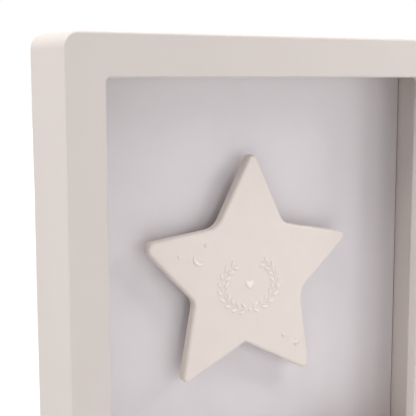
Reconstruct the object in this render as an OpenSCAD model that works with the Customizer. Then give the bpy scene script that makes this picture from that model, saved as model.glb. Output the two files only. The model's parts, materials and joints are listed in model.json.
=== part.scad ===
// Framed plaque: a deep box frame of painted board, with a cast star on a card inside it.
// The front faces -Y, the bottom wall stands on Z = 0, and X = 0 is the middle of its width.

/* [Frame] */
// Width over the side walls
frame_w = 176; // [150:1:230]
// Height over the top and bottom walls
frame_h = 186; // [160:1:240]
// Depth from the front face to the rear edges of the walls
frame_d = 31; // [24:0.5:45]
// Width of the border round the opening
border_w = 15.5; // [13:0.5:22]
// Thickness of the front panel
front_t = 5; // [3:0.5:8]
// Thickness of the four walls
wall_t = 5; // [4:0.25:7]
// Radius of the outer corners, seen from the front
corner_r = 5.5; // [2:0.5:9]
// Radius of the corners of the opening
opening_r = 1.6; // [1:0.2:5]
// Radius of the sanded edges of the front panel
edge_r = 0.8; // [0.3:0.1:1.2]
// Radius of the eased outer edges at the rear
rear_edge_r = 0.4; // [0.2:0.1:1]
// How far the glue blocks stay back behind the edge of the opening
block_hide = 3; // [1:0.1:4]

/* [Back] */
// Thickness of the backing card
card_t = 1.5; // [0.4:0.1:2.5]
// Thickness of the back panel
back_t = 3; // [2:0.5:5]
// Gap between the walls and the edges of the card and the back panel
back_gap = 0.5; // [0.2:0.1:1]

/* [Star] */
// Reach of the arms from the centre, before their tips are rounded
star_r = 52.3; // [40:0.1:58]
// Distance from the centre to the sharp notches between the arms
notch_r = 26.6; // [20:0.1:30]
// Rounding of the tips
tip_round = 2.2; // [1.8:0.1:4]
// Rounding of the notches
notch_round = 7; // [3:0.1:9]
// Thickness of the star
star_t = 3.75; // [2.5:0.25:6]
// Radius of the soft edge round the star's face
star_edge_r = 1.2; // [0.5:0.1:2.2]
// Turn of the star as it was glued on, in degrees
star_turn = -1.5; // [-5:0.1:5]
// Place of the star's centre beside the middle of the opening
star_x = -2.4; // [-4:0.1:4]
// Place of the star's centre above the middle of the opening
star_z = -2.5; // [-5:0.1:4]

/* [Star pads] */
// Thickness of the foam pads behind the star
pad_t = 5; // [1:0.25:8]
// Side of a square pad
pad_w = 9; // [6:0.5:12]
// Distance of the pads from the star's centre
pad_ring_r = 22; // [16:0.5:26]

/* [Turn buttons] */
// Thickness of a turn button
button_t = 1; // [0.6:0.1:1.6]
// Reach of a button from its screw to its far end
button_l = 14; // [10:0.5:20]
// How far the button's sides stay in from the nearer face of the wall
button_margin = 0.1; // [0.05:0.05:0.5]
// Gap that lets a button turn on the rear edge of its wall
button_gap = 0.1; // [0.05:0.05:0.2]
// Distance of the screws from the inner faces of the walls
screw_in = 2; // [1.7:0.1:3]
// Radius of the screws' shanks
screw_r = 1; // [0.7:0.1:1.2]
// Depth of the screws in the walls
screw_l = 8; // [5:0.5:12]
// Radius of the screws' heads
screw_head_r = 1.7; // [1.5:0.1:2.2]
// Height of the screws' heads
screw_head_h = 1.2; // [0.8:0.1:1.6]

/* [Hanger] */
// Length of the hanger across the back
hanger_w = 44; // [36:1:60]
// Height of the hanger's strip
hanger_h = 9; // [7:0.5:12]
// Thickness of the hanger's strip
hanger_t = 0.8; // [0.5:0.1:1.2]
// How far the toothed middle stands off the back panel
hanger_rise = 1.4; // [1:0.1:2.5]
// Length of each flat foot
hanger_foot = 8; // [7:0.5:10]
// Distance from the top of the frame down to the hanger
hanger_drop = 24; // [20:1:60]
// Width of one tooth
tooth_w = 2.6; // [2:0.1:3.5]
// Height of one tooth
tooth_h = 1.8; // [1:0.1:2.5]
// Radius of the rivets' shanks
rivet_r = 1.25; // [1:0.05:1.5]
// Radius of the rivets' heads
rivet_head_r = 2.4; // [2:0.1:3]
// Height of the rivets' heads
rivet_head_h = 0.9; // [0.6:0.1:1.2]

/* [Hidden] */

// Roundness of bores, corners and heads
$fn = 64;
// Overrun of every cut, and the clearance of shanks in their holes
cut = 1;
hole_gap = 0.05;

// Depths are counted back from the front face, which lies half of the whole depth in front of Y = 0
hardware_h = max(button_gap + button_t + screw_head_h, hanger_rise + hanger_t, hanger_t + rivet_head_h);
front_y = -(frame_d + hardware_h) / 2;
rear_y = front_y + frame_d;
back_y = rear_y - back_t;
card_y = back_y - card_t;
pad_y = card_y - pad_t;

opening_w = frame_w - 2 * border_w;
opening_h = frame_h - 2 * border_w;
inner_w = frame_w - 2 * wall_t;
inner_h = frame_h - 2 * wall_t;
mid_z = frame_h / 2;
block_w = border_w - wall_t - block_hide;

// The star was finished by hand, so its arms differ a little in reach and direction.
// The arms go round anticlockwise from the top one, and each notch follows its arm.
arms = 5;
arm_step = 360 / arms;
tip_reach_shares = [0.996, 0.996, 0.986, 1.028, 1.02];
tip_turns = [-0.3, 0.1, 0.1, 0.6, -1.2];
tip_round_shares = [0.95, 1.3, 0.95, 1, 1.07];
notch_reach_shares = [0.974, 0.985, 1.005, 1.016, 1.013];
notch_turns = [1.2, -0.2, -1.7, 1.8, -1.3];
notch_round_shares = [1.11, 0.63, 0.35, 1.22, 0.94];
least_tip_share = 0.05;
arc_steps = 6;
edge_steps = 5;

function polar(r, a) = [r * cos(a), r * sin(a)];
function angle_of(v) = atan2(v.y, v.x);
function arm_angle(k) = 90 + star_turn + arm_step * k;
function outward(from, to) = let (d = (to - from) / norm(to - from)) [d.y, -d.x];

// Sharp corners of the star, tips and notches in turn
star_corners = [
    for (k = [0 : arms - 1], is_notch = [0, 1])
        is_notch == 0
            ? polar(star_r * tip_reach_shares[k], arm_angle(k) + tip_turns[k])
            : polar(notch_r * notch_reach_shares[k], arm_angle(k) + arm_step / 2 + notch_turns[k])
];

// Arc of each corner: the sharp corner, how its centre draws in for each millimetre of radius, the
// radius (negative in a notch), the first angle and the turn
star_arcs = [
    for (i = [0 : 2 * arms - 1])
        let (
            corner = star_corners[i],
            n_in = outward(star_corners[(i + 2 * arms - 1) % (2 * arms)], corner),
            n_out = outward(corner, star_corners[(i + 1) % (2 * arms)]),
            k = floor(i / 2),
            r = i % 2 == 0 ? tip_round * tip_round_shares[k] : -notch_round * notch_round_shares[k],
            turn = asin(n_in.x * n_out.y - n_in.y * n_out.x),
            wide = n_in * n_out < 0 ? sign(turn) * 180 - turn : turn
        )
        [corner, (n_in + n_out) / (1 + n_in * n_out), r, angle_of(n_in), wide]
];

// Outline of the star, drawn in by an inset; a tip keeps at least a small part of its rounding
function star_ring(inset) = [
    for (arc = star_arcs, s = [0 : arc_steps])
        let (r = arc[2] > 0 ? max(arc[2] - inset, least_tip_share * tip_round) : arc[2] - inset)
        arc[0] - (r + inset) * arc[1] + polar(r, arc[3] + arc[4] * s / arc_steps)
];

// Plain helpers

module round_rect(w, h, r) {
    translate([-w / 2 + r, -h / 2]) square([w - 2 * r, h]);
    translate([-w / 2, -h / 2 + r]) square([w, h - 2 * r]);
    for (x = [-1, 1], y = [-1, 1])
        translate([x * (w / 2 - r), y * (h / 2 - r)]) circle(r);
}

// Stands a flat outline up as a plate that runs back from depth y
module plate(y, t) {
    translate([0, y + t, mid_z]) rotate([90, 0, 0]) linear_extrude(t) children();
}

// Sweeps a flat profile round a rectangle with round corners; the profile's X points outwards
module sweep_round_rect(w, h, r) {
    for (turn = [0 : 3]) {
        across = turn % 2 == 0 ? w : h;
        along = turn % 2 == 0 ? h : w;
        rotate(90 * turn) {
            translate([across / 2 - r, along / 2 - r]) rotate_extrude(angle = 90) translate([r, 0]) children();
            translate([across / 2, along / 2 - r]) rotate([90, 0, 0]) linear_extrude(along - 2 * r) children();
        }
    }
}

// What a sanded edge loses: the corner outside a quarter circle, on the outside of the path
module edge_waste(r, side) {
    difference() {
        translate([side > 0 ? -r : 0, -r]) square(r);
        translate([-side * r, -r]) circle(r);
    }
}

module pan_head(r, h) {
    soft = h / 2;
    rotate_extrude() {
        square([r - soft, h]);
        square([r, h - soft]);
        intersection() {
            translate([r - soft, h - soft]) circle(soft);
            square([r, h]);
        }
    }
}

// Turns what lies in XY so that its Z points to the rear
module face_rear() {
    rotate([-90, 0, 0]) children();
}

// Puts a turn button's own frame on the rear edge of the middle of a wall, X towards the opening
module on_wall(side) {
    x = side == "left" ? -1 : side == "right" ? 1 : 0;
    z = side == "bottom" ? -1 : side == "top" ? 1 : 0;
    turn = side == "left" ? 0 : side == "right" ? 180 : side == "top" ? 90 : -90;
    translate([x * (inner_w / 2 + screw_in), rear_y, mid_z + z * (inner_h / 2 + screw_in)])
        rotate([0, turn, 0]) face_rear() children();
}

// Frame

module front_panel() {
    color("#dcd3cd")
    difference() {
        plate(front_y, front_t) difference() {
            round_rect(frame_w, frame_h, corner_r);
            round_rect(opening_w, opening_h, opening_r);
        }
        translate([0, front_y, mid_z]) rotate([90, 0, 0]) {
            sweep_round_rect(frame_w, frame_h, corner_r) edge_waste(edge_r, 1);
            sweep_round_rect(opening_w, opening_h, opening_r) edge_waste(edge_r, -1);
        }
    }
}

module box_ring() {
    difference() {
        plate(front_y + front_t, frame_d - front_t) difference() {
            round_rect(frame_w, frame_h, corner_r);
            square([inner_w, inner_h], center = true);
        }
        translate([0, rear_y, mid_z]) rotate([-90, 0, 0])
            sweep_round_rect(frame_w, frame_h, corner_r) edge_waste(rear_edge_r, 1);
    }
}

// Mitred share of the ring on one side, with its screw hole
module wall(side) {
    x = (side == "left" ? -1 : 1) * inner_w / 2;
    z = (side == "bottom" ? -1 : 1) * inner_h / 2;
    out = wall_t + cut;
    across = side == "top" || side == "bottom";
    far_x = x + sign(x) * out;
    far_z = z + sign(z) * out;
    color("#dcd3cd")
    difference() {
        intersection() {
            box_ring();
            plate(front_y, frame_d + cut)
                polygon(across
                    ? [[-x, z], [x, z], [far_x, far_z], [-far_x, far_z]]
                    : [[x, -z], [x, z], [far_x, far_z], [far_x, -far_z]]);
        }
        on_wall(side) translate([0, 0, -screw_l - hole_gap])
            cylinder(h = screw_l + hole_gap + cut, r = screw_r + hole_gap);
    }
}

module wall_left() { wall("left"); }
module wall_right() { wall("right"); }
module wall_top() { wall("top"); }
module wall_bottom() { wall("bottom"); }

// Square glue block in a corner, from the front panel to the card
module corner_block(x, z) {
    color("tan")
    translate([
        x > 0 ? inner_w / 2 - block_w : -inner_w / 2,
        front_y + front_t,
        mid_z + (z > 0 ? inner_h / 2 - block_w : -inner_h / 2)
    ])
        cube([block_w, card_y - front_y - front_t, block_w]);
}

module corner_block_top_left() { corner_block(-1, 1); }
module corner_block_top_right() { corner_block(1, 1); }
module corner_block_bottom_left() { corner_block(-1, -1); }
module corner_block_bottom_right() { corner_block(1, -1); }

// Card and back panel

module backing_card() {
    color("#cbc4ca")
    plate(card_y, card_t) square([inner_w - 2 * back_gap, inner_h - 2 * back_gap], center = true);
}

module at_rivets() {
    for (x = [-1, 1])
        translate([x * (hanger_w - hanger_foot) / 2, rear_y, frame_h - hanger_drop - hanger_h / 2]) children();
}

module rivet_holes() {
    at_rivets() rotate([90, 0, 0])
        cylinder(h = 2 * (back_t + hanger_rise + hanger_t + cut), r = rivet_r + hole_gap, center = true);
}

module back_panel() {
    color("#a98f70")
    difference() {
        plate(back_y, back_t) square([inner_w - 2 * back_gap, inner_h - 2 * back_gap], center = true);
        rivet_holes();
    }
}

// Star

module star_pads() {
    color("white")
    translate([star_x, pad_y, mid_z + star_z])
        for (k = [0 : arms - 1])
            rotate([0, -arm_angle(k), 0])
                translate([pad_ring_r - pad_w / 2, 0, -pad_w / 2]) cube([pad_w, pad_t, pad_w]);
}

// Lofted from the flat back, up the sides and round the soft edge to the face
module star() {
    levels = concat(
        [[0, 0]],
        [
            for (s = [0 : edge_steps])
                let (a = 90 * s / edge_steps)
                [star_edge_r * (1 - cos(a)), star_t - star_edge_r * (1 - sin(a))]
        ]
    );
    count = len(star_arcs) * (arc_steps + 1);
    rings = [for (level = levels, p = star_ring(level[0])) [p.x, p.y, level[1]]];
    top = (len(levels) - 1) * count;
    hub = len(rings);
    sides = [
        for (l = [0 : len(levels) - 2], i = [0 : count - 1], half = [0, 1])
            let (a = l * count + i, b = l * count + (i + 1) % count)
            half == 0 ? [a, a + count, b] : [b, a + count, b + count]
    ];
    // The flat back and the face are fans about the star's centre
    ends = [
        for (i = [0 : count - 1], is_face = [0, 1])
            let (next = (i + 1) % count)
            is_face == 0 ? [hub, i, next] : [hub + 1, top + next, top + i]
    ];
    color("#e6ddd7")
    translate([star_x, pad_y, mid_z + star_z]) rotate([90, 0, 0])
        polyhedron(points = concat(rings, [[0, 0, 0], [0, 0, star_t]]), faces = concat(sides, ends));
}

// Turn buttons

module turn_button(side) {
    half_w = min(screw_in, wall_t - screw_in) - button_margin;
    color("silver")
    on_wall(side) translate([0, 0, button_gap]) linear_extrude(button_t) difference() {
        union() {
            circle(half_w);
            translate([0, -half_w]) square([button_l - half_w, 2 * half_w]);
            translate([button_l - half_w, 0]) circle(half_w);
        }
        circle(screw_r + hole_gap);
    }
}

module turn_button_left() { turn_button("left"); }
module turn_button_right() { turn_button("right"); }
module turn_button_top() { turn_button("top"); }
module turn_button_bottom() { turn_button("bottom"); }

module turn_button_screws() {
    color("silver")
    for (side = ["left", "right", "top", "bottom"])
        on_wall(side) {
            translate([0, 0, -screw_l]) cylinder(h = screw_l + button_gap + button_t, r = screw_r);
            translate([0, 0, button_gap + button_t]) pan_head(screw_head_r, screw_head_h);
        }
}

// Hanger

module hanger() {
    ramp = hanger_rise;
    foot_x = hanger_w / 2 - hanger_foot;
    mid_x = foot_x - ramp;
    teeth = floor(2 * mid_x / tooth_w) - 1;
    color("silver")
    difference() {
        translate([0, rear_y, frame_h - hanger_drop - hanger_h]) linear_extrude(hanger_h)
            polygon([
                [-hanger_w / 2, 0], [-foot_x, 0], [-mid_x, hanger_rise],
                [mid_x, hanger_rise], [foot_x, 0], [hanger_w / 2, 0],
                [hanger_w / 2, hanger_t], [foot_x, hanger_t], [mid_x, hanger_rise + hanger_t],
                [-mid_x, hanger_rise + hanger_t], [-foot_x, hanger_t], [-hanger_w / 2, hanger_t]
            ]);
        for (i = [0 : teeth - 1])
            translate([(i - (teeth - 1) / 2) * tooth_w, rear_y + hanger_rise + hanger_t / 2,
                       frame_h - hanger_drop - hanger_h])
                rotate([90, 0, 0]) linear_extrude(hanger_t + 2 * cut, center = true)
                    polygon([[-tooth_w / 2, 0], [0, tooth_h], [tooth_w / 2, 0], [0, -tooth_h]]);
        rivet_holes();
    }
}

module hanger_rivets() {
    color("silver")
    at_rivets() face_rear() {
        translate([0, 0, -back_t]) cylinder(h = back_t + hanger_t, r = rivet_r);
        translate([0, 0, hanger_t]) pan_head(rivet_head_r, rivet_head_h);
    }
}

front_panel();
wall_left();
wall_right();
wall_top();
wall_bottom();
corner_block_top_left();
corner_block_top_right();
corner_block_bottom_left();
corner_block_bottom_right();
backing_card();
star_pads();
star();
back_panel();
turn_button_left();
turn_button_right();
turn_button_top();
turn_button_bottom();
turn_button_screws();
hanger();
hanger_rivets();
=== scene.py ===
import json
import math

import bmesh
import bpy
from mathutils import Matrix, Vector, noise


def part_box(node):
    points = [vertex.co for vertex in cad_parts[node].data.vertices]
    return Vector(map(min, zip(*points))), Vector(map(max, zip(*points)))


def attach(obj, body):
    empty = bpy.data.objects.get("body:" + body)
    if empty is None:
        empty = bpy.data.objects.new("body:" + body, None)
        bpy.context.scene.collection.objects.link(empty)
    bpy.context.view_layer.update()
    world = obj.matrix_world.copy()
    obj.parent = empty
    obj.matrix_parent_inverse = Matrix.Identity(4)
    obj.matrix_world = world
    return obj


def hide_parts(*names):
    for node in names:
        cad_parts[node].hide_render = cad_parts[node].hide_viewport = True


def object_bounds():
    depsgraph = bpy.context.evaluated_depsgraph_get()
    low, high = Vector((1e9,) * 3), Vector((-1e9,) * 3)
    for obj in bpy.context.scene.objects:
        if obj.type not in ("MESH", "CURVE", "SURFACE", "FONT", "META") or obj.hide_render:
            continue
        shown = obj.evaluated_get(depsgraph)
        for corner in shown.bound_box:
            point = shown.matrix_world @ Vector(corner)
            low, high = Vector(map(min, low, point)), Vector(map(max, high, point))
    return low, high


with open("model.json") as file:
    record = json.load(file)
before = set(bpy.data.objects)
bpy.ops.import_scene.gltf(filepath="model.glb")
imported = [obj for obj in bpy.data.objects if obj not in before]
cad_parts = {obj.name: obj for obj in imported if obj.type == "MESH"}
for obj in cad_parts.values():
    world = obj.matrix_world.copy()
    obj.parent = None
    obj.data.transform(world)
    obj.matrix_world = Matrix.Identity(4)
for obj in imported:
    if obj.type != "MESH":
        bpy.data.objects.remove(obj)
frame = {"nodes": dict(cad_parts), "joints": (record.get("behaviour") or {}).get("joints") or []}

# The box of the bare model, whose middle the soft boxes face
cad_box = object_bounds()
scene = bpy.context.scene
scene.view_settings.view_transform = "Standard"
mm = 0.001

# Camera
# A long lens to the left of the plaque and level with the top of its opening, so that the left
# side shows and the bottom of the frame runs out of the picture.
camera_place = Vector((-209.8, -313.4, 169.3)) * mm
camera_yaw = math.radians(30.86)
camera_pitch = math.radians(7.64)
camera_roll = math.radians(-0.14)

camera_data = bpy.data.cameras.new("camera")
camera_data.lens = 82.0
camera_data.clip_start = 10 * mm
camera = bpy.data.objects.new("camera", camera_data)
scene.collection.objects.link(camera)
look = Vector((
    math.sin(camera_yaw) * math.cos(camera_pitch),
    math.cos(camera_yaw) * math.cos(camera_pitch),
    -math.sin(camera_pitch),
))
camera.matrix_world = (
    Matrix.Translation(camera_place)
    @ look.to_track_quat("-Z", "Y").to_matrix().to_4x4()
    @ Matrix.Rotation(camera_roll, 4, "Z")
)
scene.camera = camera

# Front panel and walls
# Five pieces of 5 mm fibreboard, glued into a seamless box and sanded, then sprayed with a warm
# grey-white satin paint, with a faint orange peel and hardly any mottling. The box lay on its back
# while it was sprayed, so the rear edges of the walls are bare board with specks of paint.
paint_colour = "#cec5c0"
paint_dark = "#c8bfba"
peel_size = 0.9 * mm
peel_depth = 0.05 * mm
mottle_size = 45 * mm
board_colour = "#b99d79"
board_dark = "#8a6c47"
fleck_size = 1.1 * mm
overspray = 0.5 * mm
bare_from_share = 0.05
bare_to_share = 0.45
rag_size = 2 * mm
nodes = frame["nodes"]
rear_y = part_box("wall_left")[1].y


def linear(code):
    """A colour for a socket, from its sRGB hex code."""
    levels = [int(code[i:i + 2], 16) / 255 for i in (1, 3, 5)]
    return [c / 12.92 if c <= 0.04045 else ((c + 0.055) / 1.055) ** 2.4 for c in levels] + [1]


def feed(tree, node, sockets):
    """Gives sockets of a node their values, or links them to the outputs that feed them."""
    for socket, value in sockets.items():
        if isinstance(value, bpy.types.NodeSocket):
            tree.links.new(value, node.inputs[socket])
        else:
            node.inputs[socket].default_value = value


def add(tree, kind, sockets=None, **settings):
    """Adds a node, sets its options and feeds its sockets."""
    node = tree.nodes.new(kind)
    for name, value in settings.items():
        setattr(node, name, value)
    feed(tree, node, sockets or {})
    return node


def new_material(name):
    """An empty material with its shader, and the place of each point on the piece."""
    material = bpy.data.materials.new(name)
    material.use_nodes = True
    tree = material.node_tree
    tree.nodes.clear()
    shader = add(tree, "ShaderNodeBsdfPrincipled")
    add(tree, "ShaderNodeOutputMaterial", {"Surface": shader.outputs["BSDF"]})
    place = add(tree, "ShaderNodeTexCoord").outputs["Object"]
    return material, tree, shader, place


def bare_board(tree, place):
    """The colour and the relief of fibreboard, whose flecks are drawn coarse enough to show."""
    fibres = add(
        tree, "ShaderNodeTexNoise",
        {"Vector": place, "Scale": 1 / fleck_size, "Detail": 4, "Roughness": 0.7},
    )
    flecks = add(
        tree, "ShaderNodeMapRange",
        {"Value": fibres.outputs["Fac"], "From Min": 0.35, "From Max": 0.65},
    )
    board = add(
        tree, "ShaderNodeMix",
        {"Factor": flecks.outputs["Result"], "A": linear(board_dark), "B": linear(board_colour)},
        data_type="RGBA",
    )
    return board.outputs["Result"], fibres.outputs["Fac"]


# Satin paint has a soft, broad gloss, which the orange peel breaks up a little
satin_paint, tree, shader, place = new_material("satin_sprayed_paint")
mottles = add(tree, "ShaderNodeTexNoise", {"Vector": place, "Scale": 1 / mottle_size, "Detail": 3})
sprayed = add(
    tree, "ShaderNodeMix",
    {"Factor": mottles.outputs["Fac"], "A": linear(paint_dark), "B": linear(paint_colour)},
    data_type="RGBA",
)
# The paint ends raggedly at the rear edges
depth = add(tree, "ShaderNodeSeparateXYZ", {"Vector": place}).outputs["Y"]
rags = add(tree, "ShaderNodeTexNoise", {"Vector": place, "Scale": 1 / rag_size, "Detail": 3})
ragged = add(
    tree, "ShaderNodeMath", {0: rags.outputs["Fac"], 1: overspray, 2: depth},
    operation="MULTIPLY_ADD",
)
bare = add(
    tree, "ShaderNodeMapRange",
    {"Value": ragged.outputs["Value"],
     "From Min": rear_y + bare_from_share * overspray,
     "From Max": rear_y + bare_to_share * overspray},
)
board, _ = bare_board(tree, place)
finish = add(
    tree, "ShaderNodeMix",
    {"Factor": bare.outputs["Result"], "A": sprayed.outputs["Result"], "B": board},
    data_type="RGBA",
)
peel = add(
    tree, "ShaderNodeTexNoise",
    {"Vector": place, "Scale": 1 / peel_size, "Detail": 2, "Roughness": 0.4},
)
skin = add(
    tree, "ShaderNodeBump",
    {"Height": peel.outputs["Fac"], "Strength": 0.12, "Distance": peel_depth},
)
feed(tree, shader, {
    "Base Color": finish.outputs["Result"], "Normal": skin.outputs["Normal"],
    "Roughness": 0.55, "IOR": 1.48,
})


def finish_with(node, material):
    """Gives a piece of the frame its finish."""
    nodes[node].data.materials.clear()
    nodes[node].data.materials.append(material)


for name in ("front_panel", "wall_left", "wall_right", "wall_top", "wall_bottom"):
    finish_with(name, satin_paint)

# Glue blocks
# Four square pine sticks, sawn and glued into the corners behind the border. They stiffen the box
# and stop the card. Their edges are just taken off, the grain runs along them, and a mist of the
# paint lies on the bare wood.
block_ease = 0.3 * mm
pine_colour = "#dcbd91"
pine_dark = "#c39a66"
pine_ring = 1.6 * mm
pine_stretch = 40
pine_relief = 0.05 * mm
mist_size = 5 * mm
# Points closer than this are one point, faces flatter than this are one face, and edges sharper
# than this are eased
hair = 0.001 * mm
flat_angle = math.radians(1)
sharp_angle = math.radians(30)


def solid_copy(node):
    """A copy of a piece of the frame, with its loose triangles joined into whole faces."""
    bm = bmesh.new()
    bm.from_mesh(nodes[node].data)
    bmesh.ops.remove_doubles(bm, verts=bm.verts, dist=hair)
    bmesh.ops.dissolve_limit(bm, angle_limit=flat_angle, verts=bm.verts, edges=bm.edges)
    return bm


def ease(bm, radius, steps=2):
    """Rounds every sharp edge a little."""
    sharp = [e for e in bm.edges if e.is_manifold and e.calc_face_angle() > sharp_angle]
    bmesh.ops.bevel(
        bm, geom=sharp, offset=radius, offset_type="OFFSET", segments=steps, profile=0.5,
        affect="EDGES", material=-1, clamp_overlap=True,
    )


def new_piece(name, bm, material, node, body="root", smooth_angle=40):
    """Turns a finished bmesh into a piece that rides on a body and stands for a node."""
    bmesh.ops.recalc_face_normals(bm, faces=bm.faces)
    mesh = bpy.data.meshes.new(name)
    bm.to_mesh(mesh)
    bm.free()
    mesh.materials.append(material)
    mesh.shade_smooth()
    mesh.set_sharp_from_angle(angle=math.radians(smooth_angle))
    piece = bpy.data.objects.new(name, mesh)
    scene.collection.objects.link(piece)
    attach(piece, body)
    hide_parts(node)
    return piece


# Sawn pine is dull, and its grain shows as long streaks, in colour and as ridges
sawn_pine, tree, shader, place = new_material("sawn_pine")
along = add(tree, "ShaderNodeMapping", {"Vector": place, "Scale": (1, 1 / pine_stretch, 1)})
rings = add(
    tree, "ShaderNodeTexNoise",
    {"Vector": along.outputs["Vector"], "Scale": 1 / pine_ring, "Detail": 4, "Roughness": 0.6},
)
wood = add(
    tree, "ShaderNodeMix",
    {"Factor": rings.outputs["Fac"], "A": linear(pine_dark), "B": linear(pine_colour)},
    data_type="RGBA",
)
spray = add(tree, "ShaderNodeTexNoise", {"Vector": place, "Scale": 1 / mist_size, "Detail": 3})
mist = add(
    tree, "ShaderNodeMapRange",
    {"Value": spray.outputs["Fac"], "From Min": 0.3, "From Max": 0.7, "To Min": 0.5, "To Max": 0.85},
)
misted = add(
    tree, "ShaderNodeMix",
    {"Factor": mist.outputs["Result"], "A": wood.outputs["Result"], "B": linear(paint_colour)},
    data_type="RGBA",
)
sawn = add(
    tree, "ShaderNodeBump",
    {"Height": rings.outputs["Fac"], "Strength": 0.3, "Distance": pine_relief},
)
feed(tree, shader, {
    "Base Color": misted.outputs["Result"], "Normal": sawn.outputs["Normal"], "Roughness": 0.75,
})
for corner in ("top_left", "top_right", "bottom_left", "bottom_right"):
    bm = solid_copy("corner_block_" + corner)
    ease(bm, block_ease)
    new_piece("pine_block_" + corner, bm, sawn_pine, "corner_block_" + corner)

# Backing card
# A 1.5 mm mount board in a pale lilac white, uncoated, with the short fibres and faint clouding
# of paper. It lies in front of the back panel and closes the box.
card_colour = "#e6e1e4"
card_dark = "#e1dcdf"
fibre_size = 0.7 * mm
fibre_depth = 0.03 * mm
cloud_size = 12 * mm

# Uncoated card is dull and reflects little. Its fibres are drawn coarse enough to show.
uncoated_card, tree, shader, place = new_material("uncoated_card")
clouds = add(
    tree, "ShaderNodeTexNoise",
    {"Vector": place, "Scale": 1 / cloud_size, "Detail": 4, "Roughness": 0.55},
)
paper = add(
    tree, "ShaderNodeMix",
    {"Factor": clouds.outputs["Fac"], "A": linear(card_dark), "B": linear(card_colour)},
    data_type="RGBA",
)
fibres = add(
    tree, "ShaderNodeTexNoise",
    {"Vector": place, "Scale": 1 / fibre_size, "Detail": 3, "Roughness": 0.6},
)
nap = add(
    tree, "ShaderNodeBump",
    {"Height": fibres.outputs["Fac"], "Strength": 0.15, "Distance": fibre_depth},
)
feed(tree, shader, {
    "Base Color": paper.outputs["Result"], "Normal": nap.outputs["Normal"],
    "Roughness": 0.9, "Specular IOR Level": 0.25,
})
finish_with("backing_card", uncoated_card)

# Star
# An unglazed plaque of cast clay, 3.75 mm thick, wiped by hand before it was fired, so its edges
# are soft, its arms differ a little and its face isn't quite flat. A moon, dots, a sparkle and
# sprigs round a heart stand out of the face, because they were cut into the mould.
star_r = 52.3 * mm
notch_r = 26.6 * mm
tip_round = 2.2 * mm
notch_round = 7 * mm
star_t = 3.75 * mm
star_edge_r = 1.2 * mm
star_turn = -1.5
star_x = -2.4 * mm
star_z = 90.5 * mm
# The arms, from the top one round to the left, and the notch after each of them: how far each
# reaches, how many degrees it is turned, and how round it is
tip_reach_shares = [0.996, 0.996, 0.986, 1.028, 1.02]
tip_turns = [-0.3, 0.1, 0.1, 0.6, -1.2]
tip_round_shares = [0.95, 1.3, 0.95, 1, 1.07]
notch_reach_shares = [0.974, 0.985, 1.005, 1.016, 1.013]
notch_turns = [1.2, -0.2, -1.7, 1.8, -1.3]
notch_round_shares = [1.11, 0.63, 0.35, 1.22, 0.94]
least_tip_share = 0.05
arc_steps = 10
edge_steps = 8
wave_size = 17 * mm
wave_height = 0.08 * mm
face_cell = 2.4 * mm
fine_cuts = 11
mark_height = 0.6 * mm
mark_slope = 0.6 * mm
mark_foot_share = 0.25
# How far up the marks the painted highlight on their tops is full
mark_highlight_share = 0.8
clay_colour = "#e0d5cf"
clay_dark = "#dcd0c9"
# The colour of the painted highlight on the tops of the marks
mark_highlight_colour = "#ece3dd"
clay_grain = 0.35 * mm
clay_depth = 0.03 * mm
clay_cloud = 9 * mm

star_centre = Vector((star_x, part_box("star")[1].y, star_z))


def polar(r, degrees):
    """A point in the plane of the star, seen from the front."""
    return Vector((r * math.cos(math.radians(degrees)), 0, r * math.sin(math.radians(degrees))))


arm_angles = [90 + star_turn + 72 * k for k in range(5)]
sharp_corners = []
for k, arm in enumerate(arm_angles):
    tip = polar(star_r * tip_reach_shares[k], arm + tip_turns[k])
    notch = polar(notch_r * notch_reach_shares[k], arm + 36 + notch_turns[k])
    sharp_corners.append((tip, tip_round * tip_round_shares[k]))
    sharp_corners.append((notch, -notch_round * notch_round_shares[k]))


def star_ring(bm, inset, height):
    """The star's outline as a closed wire, drawn in by an inset, at a height over its back."""
    verts = []
    for i, (corner, r) in enumerate(sharp_corners):
        along_in = (corner - sharp_corners[i - 1][0]).normalized()
        along_out = (sharp_corners[(i + 1) % len(sharp_corners)][0] - corner).normalized()
        normal_in = Vector((along_in.z, 0, -along_in.x))
        normal_out = Vector((along_out.z, 0, -along_out.x))
        # A tip gets sharper and a notch rounder, so the outline stays parallel to itself
        r = max(r - inset, least_tip_share * tip_round) if r > 0 else r - inset
        back = (normal_in + normal_out) / (1 + normal_in.dot(normal_out))
        middle = corner - (r + inset) * back
        middle += star_centre + Vector((0, -height, 0))
        for s in range(arc_steps + 1):
            verts.append(bm.verts.new(middle + r * normal_in.slerp(normal_out, s / arc_steps)))
    return [bm.edges.new((verts[i - 1], verts[i])) for i in range(len(verts))]


# The sides stand up from the back and roll over into the face
bm = bmesh.new()
wires = [star_ring(bm, 0, 0)]
for s in range(edge_steps + 1):
    turn = math.radians(90 * s / edge_steps)
    inset = star_edge_r * (1 - math.cos(turn))
    wires.append(star_ring(bm, inset, star_t - star_edge_r * (1 - math.sin(turn))))
for lower, upper in zip(wires, wires[1:]):
    bmesh.ops.bridge_loops(bm, edges=lower + upper)
bmesh.ops.contextual_create(bm, geom=wires[0])
bmesh.ops.contextual_create(bm, geom=wires[-1])
star_face_y = star_centre.y - star_t


def face_cells(bm):
    """The pieces of the star's flat face."""
    return [f for f in bm.faces if all(abs(v.co.y - star_face_y) < hair for v in f.verts)]


# Each mark on the face is a measure of how far a point of the face lies outside it. The sizes and
# places of the marks are in millimetres, from the middle of the star.
def spot(x, z, r):
    """A round dot."""
    centre = Vector((x, z)) * mm
    return lambda p: (p - centre).length - r * mm


def leaf(x, z, length, width, degrees):
    """Where two circles overlap."""
    r = (length ** 2 + width ** 2) / (4 * width)
    a = math.radians(degrees)
    aside = (r - width / 2) * Vector((-math.sin(a), math.cos(a)))
    one = spot(*(Vector((x, z)) + aside), r)
    other = spot(*(Vector((x, z)) - aside), r)
    return lambda p: max(one(p), other(p))


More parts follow.
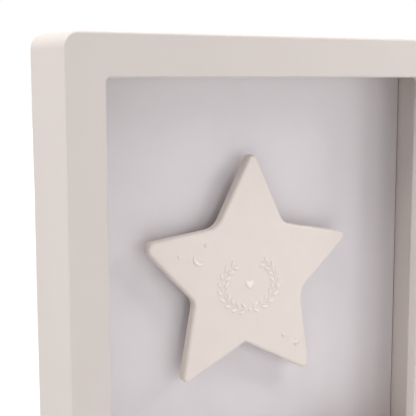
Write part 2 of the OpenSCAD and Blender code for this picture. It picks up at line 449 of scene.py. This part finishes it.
def moon(x, z, r, bite_r, bite_off, degrees):
    """A disc that another one bites into."""
    a = math.radians(degrees)
    disc = spot(x, z, r)
    bite = spot(x + bite_off * math.cos(a), z + bite_off * math.sin(a), bite_r)
    return lambda p: max(disc(p), -bite(p))


def sparkle(x, z, r, pinch=0.6):
    """A star with four drawn-in points."""
    centre = Vector((x, z)) * mm

    # Halved, because the reach grows about twice as fast as the distance
    def outside(p):
        reach = (abs(p.x - centre.x) ** pinch + abs(p.y - centre.y) ** pinch) ** (1 / pinch)
        return (reach - r * mm) / 2

    return outside


def heart(x, z, half):
    """A square on its corner with a disc on each upper side."""
    centre = Vector((x, z)) * mm
    right = Vector((1, 1)) / math.sqrt(2)
    left = Vector((-1, 1)) / math.sqrt(2)
    lobes = [spot(*(Vector((x, z)) + half * side), half) for side in (right, left)]

    def outside(p):
        q = p - centre
        square = max(abs(q.dot(right)), abs(q.dot(left))) - half * mm
        return min(square, lobes[0](p), lobes[1](p))

    return outside


# In millimetres and degrees, as the marks are
dot_r = 0.7
wreath_r = 10.2
wreath_z = -3.0
wreath_wide_share = 1.25
wreath_gap = 14
wreath_step = 16.5
wreath_leaves = 9
leaf_length = 3.1
leaf_width = 1.15
leaf_off = 1.3
leaf_lean = 38
stem_length = 3.6
stem_width = 0.4

marks = [
    moon(-23.3, 10.0, r=3.0, bite_r=3.2, bite_off=1.4, degrees=49),
    spot(-32.4, 11.4, dot_r), spot(-20.5, 14.9, dot_r), spot(17.0, -26.4, dot_r),
    sparkle(23.4, -30.2, r=1.9), heart(0, -3.2, half=1.15),
]
# Two leafy sprigs leave a berry at the bottom and bend up round the heart to a wreath
marks.append(spot(0, wreath_z - wreath_r, dot_r))
for side in (-1, 1):
    for i in range(wreath_leaves):
        turn = -90 + side * (wreath_gap + i * wreath_step)
        a = math.radians(turn)
        grows = turn + side * 90
        for aside in (-1, 1):
            r = wreath_r + aside * leaf_off
            x = wreath_wide_share * r * math.cos(a)
            z = wreath_z + r * math.sin(a)
            marks.append(leaf(x, z, leaf_length, leaf_width, grows - side * aside * leaf_lean))
        x = wreath_wide_share * wreath_r * math.cos(a)
        marks.append(leaf(x, wreath_z + wreath_r * math.sin(a), stem_length, stem_width, grows))


def outside_marks(co):
    """How far a point of the face lies outside the nearest mark, negative within one."""
    p = Vector((co.x - star_centre.x, co.z - star_centre.z))
    return min(mark(p) for mark in marks)


# The face is cut into square cells, and those round the marks are cut finer
cells_out = math.ceil(star_r / face_cell)
for across in (Vector((1, 0, 0)), Vector((0, 0, 1))):
    for i in range(-cells_out, cells_out + 1):
        parts = dict.fromkeys(part for f in face_cells(bm) for part in (f, *f.edges, *f.verts))
        bmesh.ops.bisect_plane(
            bm, geom=list(parts), dist=hair, plane_co=star_centre + across * i * face_cell,
            plane_no=across,
        )
marked = [
    f for f in face_cells(bm)
    if len(f.verts) == 4 and outside_marks(f.calc_center_median()) < face_cell
]
edges = dict.fromkeys(e for f in marked for e in f.edges)
bmesh.ops.subdivide_edges(bm, edges=list(edges), cuts=fine_cuts, use_grid_fill=True)
# The star waves a little, all the less towards its flat back, and the marks rise from its face with
# sides that are round at their foot and at their top
for v in bm.verts:
    height = (star_centre.y - v.co.y) / star_t
    rise = wave_height * noise.noise(v.co / wave_size) * height ** 2
    if v.co.y < star_face_y + hair:
        inside = min(max(mark_foot_share - outside_marks(v.co) / mark_slope, 0), 1)
        rise += mark_height * inside ** 2 * (3 - 2 * inside)
    v.co.y -= rise

# Unglazed clay is matt, and paler where it is seen at a slant. Its grain is drawn coarse enough to
# show.
fired_clay, tree, shader, place = new_material("unglazed_cast_clay")
clouds = add(
    tree, "ShaderNodeTexNoise",
    {"Vector": place, "Scale": 1 / clay_cloud, "Detail": 4, "Roughness": 0.55},
)
fired = add(
    tree, "ShaderNodeMix",
    {"Factor": clouds.outputs["Fac"], "A": linear(clay_dark), "B": linear(clay_colour)},
    data_type="RGBA",
)
# The tops of the marks are painted paler than the face, a painted highlight on their crests
level = add(tree, "ShaderNodeSeparateXYZ", {"Vector": place}).outputs["Y"]
crest_highlight = add(
    tree, "ShaderNodeMapRange",
    {"Value": level, "From Min": star_face_y - wave_height,
     "From Max": star_face_y - mark_highlight_share * mark_height},
)
highlighted_clay = add(
    tree, "ShaderNodeMix",
    {"Factor": crest_highlight.outputs["Result"], "A": fired.outputs["Result"], "B": linear(mark_highlight_colour)},
    data_type="RGBA",
)
grains = add(
    tree, "ShaderNodeTexNoise",
    {"Vector": place, "Scale": 1 / clay_grain, "Detail": 3, "Roughness": 0.6},
)
wiped = add(
    tree, "ShaderNodeBump",
    {"Height": grains.outputs["Fac"], "Strength": 0.2, "Distance": clay_depth},
)
feed(tree, shader, {
    "Base Color": highlighted_clay.outputs["Result"], "Normal": wiped.outputs["Normal"],
    "Roughness": 0.42, "Sheen Weight": 0.45, "Sheen Roughness": 0.3,
})
new_piece("cast_star", bm, fired_clay, "star", smooth_angle=60)

# Star pads
# Five square pads of white double-sided foam tape, one under each arm. They hold the star off the
# card, and their soft sides draw in a little between the two faces that stick.
pad_ring_r = 22 * mm
pad_waist_share = 0.045
pad_cuts = 6
cell_size = 0.45 * mm
cell_depth = 0.1 * mm
foam_colour = "#efedea"
foam_dark = "#dfdcd8"

bm = solid_copy("star_pads")
bmesh.ops.subdivide_edges(bm, edges=bm.edges, cuts=pad_cuts, use_grid_fill=True)
pad_lo, pad_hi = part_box("star_pads")
pad_middles = [star_centre + polar(pad_ring_r, arm) for arm in arm_angles]
for v in bm.verts:
    middle = min(pad_middles, key=lambda m: (v.co.x - m.x) ** 2 + (v.co.z - m.z) ** 2)
    through = (v.co.y - pad_lo.y) / (pad_hi.y - pad_lo.y)
    draw_in = pad_waist_share * math.sin(math.pi * through)
    v.co.x += draw_in * (middle.x - v.co.x)
    v.co.z += draw_in * (middle.z - v.co.z)
# Closed-cell foam is dull, with a pit in the middle of each cell
foam, tree, shader, place = new_material("closed_cell_foam")
cells = add(tree, "ShaderNodeTexVoronoi", {"Vector": place, "Scale": 1 / cell_size})
blown = add(
    tree, "ShaderNodeMix",
    {"Factor": cells.outputs["Distance"], "A": linear(foam_colour), "B": linear(foam_dark)},
    data_type="RGBA",
)
pits = add(
    tree, "ShaderNodeBump",
    {"Height": cells.outputs["Distance"], "Strength": 0.5, "Distance": cell_depth},
)
feed(tree, shader, {
    "Base Color": blown.outputs["Result"], "Normal": pits.outputs["Normal"], "Roughness": 0.95,
})
new_piece("foam_pads", bm, foam, "star_pads")

# Back panel
# A sheet of 3 mm fibreboard, left bare, that drops in behind the card. Its smooth pressed face
# shows the fibres as fine flecks, and handling has left it a little darker in places.
handled_dark = "#a08259"
handled_size = 30 * mm
fleck_depth = 0.03 * mm

# Pressed board has a dull gloss, and its fibres stand up a little
pressed_board, tree, shader, place = new_material("pressed_fibreboard")
flecked, relief = bare_board(tree, place)
clouds = add(tree, "ShaderNodeTexNoise", {"Vector": place, "Scale": 1 / handled_size, "Detail": 4})
handled = add(
    tree, "ShaderNodeMapRange",
    {"Value": clouds.outputs["Fac"], "From Min": 0.35, "From Max": 0.7, "To Max": 0.6},
)
grimed = add(
    tree, "ShaderNodeMix",
    {"Factor": handled.outputs["Result"], "A": flecked, "B": linear(handled_dark)},
    data_type="RGBA",
)
pressed = add(
    tree, "ShaderNodeBump", {"Height": relief, "Strength": 0.15, "Distance": fleck_depth}
)
feed(tree, shader, {
    "Base Color": grimed.outputs["Result"], "Normal": pressed.outputs["Normal"], "Roughness": 0.6,
})
finish_with("back_panel", pressed_board)

# Turn buttons
# Four flat buttons stamped from zinc-plated steel strip, one on the rear edge of each wall. They
# turn on their screws to let the back panel out. Stamping leaves a fine rounded edge.
button_ease = 0.15 * mm
zinc_colour = "#cbcac6"
zinc_dark = "#b5b5b3"
spangle_size = 1.8 * mm
crystal_size = 0.25 * mm
crystal_depth = 0.02 * mm

# Bright zinc has a cool sheen that changes from patch to patch. Its fine crystals are drawn coarse
# enough to show.
zinc_plate, tree, shader, place = new_material("bright_zinc_plate")
spangle = add(tree, "ShaderNodeTexNoise", {"Vector": place, "Scale": 1 / spangle_size, "Detail": 3})
zinc = add(
    tree, "ShaderNodeMix",
    {"Factor": spangle.outputs["Fac"], "A": linear(zinc_dark), "B": linear(zinc_colour)},
    data_type="RGBA",
)
gloss = add(
    tree, "ShaderNodeMapRange", {"Value": spangle.outputs["Fac"], "To Min": 0.26, "To Max": 0.42}
)
crystals = add(
    tree, "ShaderNodeTexNoise",
    {"Vector": place, "Scale": 1 / crystal_size, "Detail": 3, "Roughness": 0.6},
)
plated = add(
    tree, "ShaderNodeBump",
    {"Height": crystals.outputs["Fac"], "Strength": 0.12, "Distance": crystal_depth},
)
feed(tree, shader, {
    "Base Color": zinc.outputs["Result"], "Normal": plated.outputs["Normal"],
    "Roughness": gloss.outputs["Result"], "Metallic": 1,
})
for side in ("left", "right", "top", "bottom"):
    node = "turn_button_" + side
    bm = solid_copy(node)
    ease(bm, button_ease)
    new_piece("button_" + side, bm, zinc_plate, node, body=node)

# Screws of the turn buttons
# Steel pan head screws with a cross recess, zinc-plated, each driven through its button into the
# wall. They don't turn with the buttons, and each stopped at its own angle.
screw_r = 1 * mm
screw_l = 8 * mm
head_r = 1.7 * mm
head_soft = 0.6 * mm
recess_reach = 0.85 * mm
recess_half = 0.24 * mm
recess_depth = 0.7 * mm
recess_taper_share = 0.5
round_steps = 32
soft_steps = 5
screw_turns = {"left": 12, "right": 71, "top": 38, "bottom": 55}

button_rear_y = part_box("turn_button_left")[1].y
screw_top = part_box("turn_button_screws")[1].y


def quarter_round(r, y, out, rise, steps):
    """A quarter of an oval round the point r, y of a profile, from beside it to above it."""
    turns = [math.radians(90 * s / steps) for s in range(steps + 1)]
    return [(r + out * math.cos(a), y + rise * math.sin(a)) for a in turns]


def turned(bm, axis, profile):
    """Turns a profile of radii and depths on an axis that points to the rear."""
    points = [bm.verts.new(axis + Vector((r, y, 0))) for r, y in profile]
    line = [bm.edges.new(pair) for pair in zip(points, points[1:])]
    bmesh.ops.spin(
        bm, geom=points + line, cent=axis, axis=(0, 1, 0), dvec=(0, 0, 0),
        angle=2 * math.pi, steps=round_steps, use_merge=True,
    )
    bmesh.ops.remove_doubles(bm, verts=bm.verts, dist=hair)


def pan_screw(bm, x, z, turn):
    """A screw whose head is turned open at the top, then closed round its cross recess."""
    axis = Vector((x, 0, z))
    profile = [(0, rear_y - screw_l), (screw_r, rear_y - screw_l)]
    profile += [(screw_r, button_rear_y), (head_r, button_rear_y)]
    profile += quarter_round(
        head_r - head_soft, screw_top - head_soft, head_soft, head_soft, soft_steps
    )
    turned(bm, axis, profile)
    brim = [e for e in bm.edges if e.is_boundary]
    arm_corners = [
        (recess_half, recess_half), (recess_reach, recess_half), (recess_reach, -recess_half),
    ]
    cross = []
    for arm in range(4):
        spin = Matrix.Rotation(turn + math.radians(90 * arm), 4, "Y")
        for out, aside in arm_corners:
            cross.append(bm.verts.new(axis + spin @ Vector((out, screw_top, aside))))
    rim = [bm.edges.new((cross[i - 1], cross[i])) for i in range(len(cross))]
    bmesh.ops.triangle_fill(bm, edges=brim + rim, use_beauty=True)
    walls = bmesh.ops.extrude_edge_only(bm, edges=rim)["geom"]
    floor_middle = axis + Vector((0, screw_top - recess_depth, 0))
    for v in walls:
        if isinstance(v, bmesh.types.BMVert):
            v.co = floor_middle.lerp(v.co - Vector((0, recess_depth, 0)), recess_taper_share)
    bmesh.ops.contextual_create(bm, geom=[e for e in bm.edges if e.is_boundary])


bm = bmesh.new()
for joint in frame["joints"]:
    side = joint["child"].removeprefix("turn_button_")
    x, _, z = joint["pos_m"]
    pan_screw(bm, x, z, math.radians(screw_turns[side]))
new_piece("button_screws", bm, zinc_plate, "turn_button_screws", smooth_angle=50)

# Hanger
# A strip of zinc-plated steel with a toothed lower edge, pressed so that its middle stands off the
# back panel for a nail, and riveted on at both feet.
hanger_ease = 0.12 * mm

bm = solid_copy("hanger")
ease(bm, hanger_ease)
new_piece("toothed_hanger", bm, zinc_plate, "hanger")

# Hanger rivets
# Two soft steel rivets, zinc-plated as well, that hold the feet of the hanger on the back panel.
# Their heads are pressed to a low dome.
rivet_r = 1.25 * mm
rivet_head_r = 2.4 * mm
rivet_brim = 0.25 * mm
hanger_t = 0.8 * mm
dome_steps = 8

rivet_lo, rivet_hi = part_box("hanger_rivets")
foot_y = rear_y + hanger_t
dome = rivet_hi.y - foot_y - rivet_brim
bm = bmesh.new()
for side in (-1, 1):
    middle = Vector((side * (rivet_hi.x - rivet_head_r), 0, (rivet_lo.z + rivet_hi.z) / 2))
    profile = [(0, rivet_lo.y), (rivet_r, rivet_lo.y), (rivet_r, foot_y), (rivet_head_r, foot_y)]
    profile += quarter_round(0, foot_y + rivet_brim, rivet_head_r, dome, dome_steps)
    turned(bm, middle, profile)
new_piece("domed_rivets", bm, zinc_plate, "hanger_rivets", smooth_angle=50)

# Floor and light
# A white sheet under the plaque, in soft light that comes mostly from the left and above. To the
# camera and in reflections the sheet glows, more with the distance, and so meets the white of the
# world. Round the plaque it stays plain enough to show the shadow.
sheet_colour = "#e7e7e7"
sky_colour = "#ffffff"
floor_size = 6
# How far from the foot of the plaque the glow starts to grow and is full, and how strong it is there
glow_near = 0.25
glow_far = 1.2
glow_least = 0.12
glow_most = 0.9

bm = bmesh.new()
bmesh.ops.create_grid(bm, size=floor_size / 2)
floor_mesh = bpy.data.meshes.new("floor")
bm.to_mesh(floor_mesh)
bm.free()
floor = bpy.data.objects.new("floor", floor_mesh)
scene.collection.objects.link(floor)
white_floor = bpy.data.materials.new("white_floor")
white_floor.use_nodes = True
tree = white_floor.node_tree
tree.nodes.clear()
diffuse = add(tree, "ShaderNodeBsdfDiffuse", {"Color": linear(sheet_colour)})
place = add(tree, "ShaderNodeTexCoord").outputs["Object"]
distance = add(tree, "ShaderNodeVectorMath", {0: place}, operation="LENGTH")
glow_level = add(
    tree, "ShaderNodeMapRange",
    {"Value": distance.outputs["Value"], "From Min": glow_near, "From Max": glow_far,
     "To Min": glow_least, "To Max": glow_most},
    interpolation_type="SMOOTHSTEP",
)
glow = add(tree, "ShaderNodeEmission", {"Strength": glow_level.outputs["Result"]})
both = add(tree, "ShaderNodeAddShader", {0: diffuse.outputs["BSDF"], 1: glow.outputs["Emission"]})


def seen_directly(tree):
    """One for the rays of the camera and of reflections and glass, nothing for the light itself."""
    ray = add(tree, "ShaderNodeLightPath")
    mirrored = add(
        tree, "ShaderNodeMath",
        {0: ray.outputs["Is Camera Ray"], 1: ray.outputs["Is Glossy Ray"]}, operation="MAXIMUM",
    )
    through = add(
        tree, "ShaderNodeMath",
        {0: mirrored.outputs["Value"], 1: ray.outputs["Is Transmission Ray"]}, operation="MAXIMUM",
    )
    return through.outputs["Value"]


surface = add(
    tree, "ShaderNodeMixShader",
    {0: seen_directly(tree), 1: diffuse.outputs["BSDF"], 2: both.outputs["Shader"]},
)
add(tree, "ShaderNodeOutputMaterial", {"Surface": surface.outputs["Shader"]})
floor_mesh.materials.append(white_floor)

world = bpy.data.worlds.new("world")
world.use_nodes = True
tree = world.node_tree
tree.nodes.clear()
soft = add(tree, "ShaderNodeBackground", {"Color": linear(sky_colour), "Strength": 0.25})
white = add(tree, "ShaderNodeBackground", {"Color": linear(sky_colour), "Strength": 1})
sky = add(
    tree, "ShaderNodeMixShader",
    {0: seen_directly(tree), 1: soft.outputs["Background"], 2: white.outputs["Background"]},
)
add(tree, "ShaderNodeOutputWorld", {"Surface": sky.outputs["Shader"]})
scene.world = world


def soft_box(name, place, size, power):
    """A square soft box that faces the middle of the plaque, in metres and watts."""
    data = bpy.data.lights.new(name, "AREA")
    data.size = size
    data.energy = power
    lamp = bpy.data.objects.new(name, data)
    lamp.visible_camera = False
    scene.collection.objects.link(lamp)
    aim = (cad_box[0] + cad_box[1]) / 2 - Vector(place)
    lamp.matrix_world = Matrix.Translation(place) @ aim.to_track_quat("-Z", "Y").to_matrix().to_4x4()


soft_box("soft_box_left_over", (-0.6, 0, 1.13), size=0.4, power=10.2)
soft_box("soft_box_left_high", (-0.52, -0.3, 1.13), size=0.4, power=4.6)
soft_box("soft_box_left_front", (-0.98, -0.56, 0.5), size=0.4, power=0.7)
soft_box("soft_box_front_low", (0, -1.2, 0.16), size=0.4, power=1.3)
soft_box("soft_box_right_over", (0.39, -0.46, 1.13), size=0.4, power=2.3)
soft_box("soft_box_right_high", (0.375, -0.217, 0.343), size=0.15, power=0.58)
soft_box("soft_box_right_low", (0.249, -0.431, 0.137), size=0.15, power=0.22)
soft_box("soft_box_behind", (0.7, 1.1, 0.32), size=0.6, power=4)
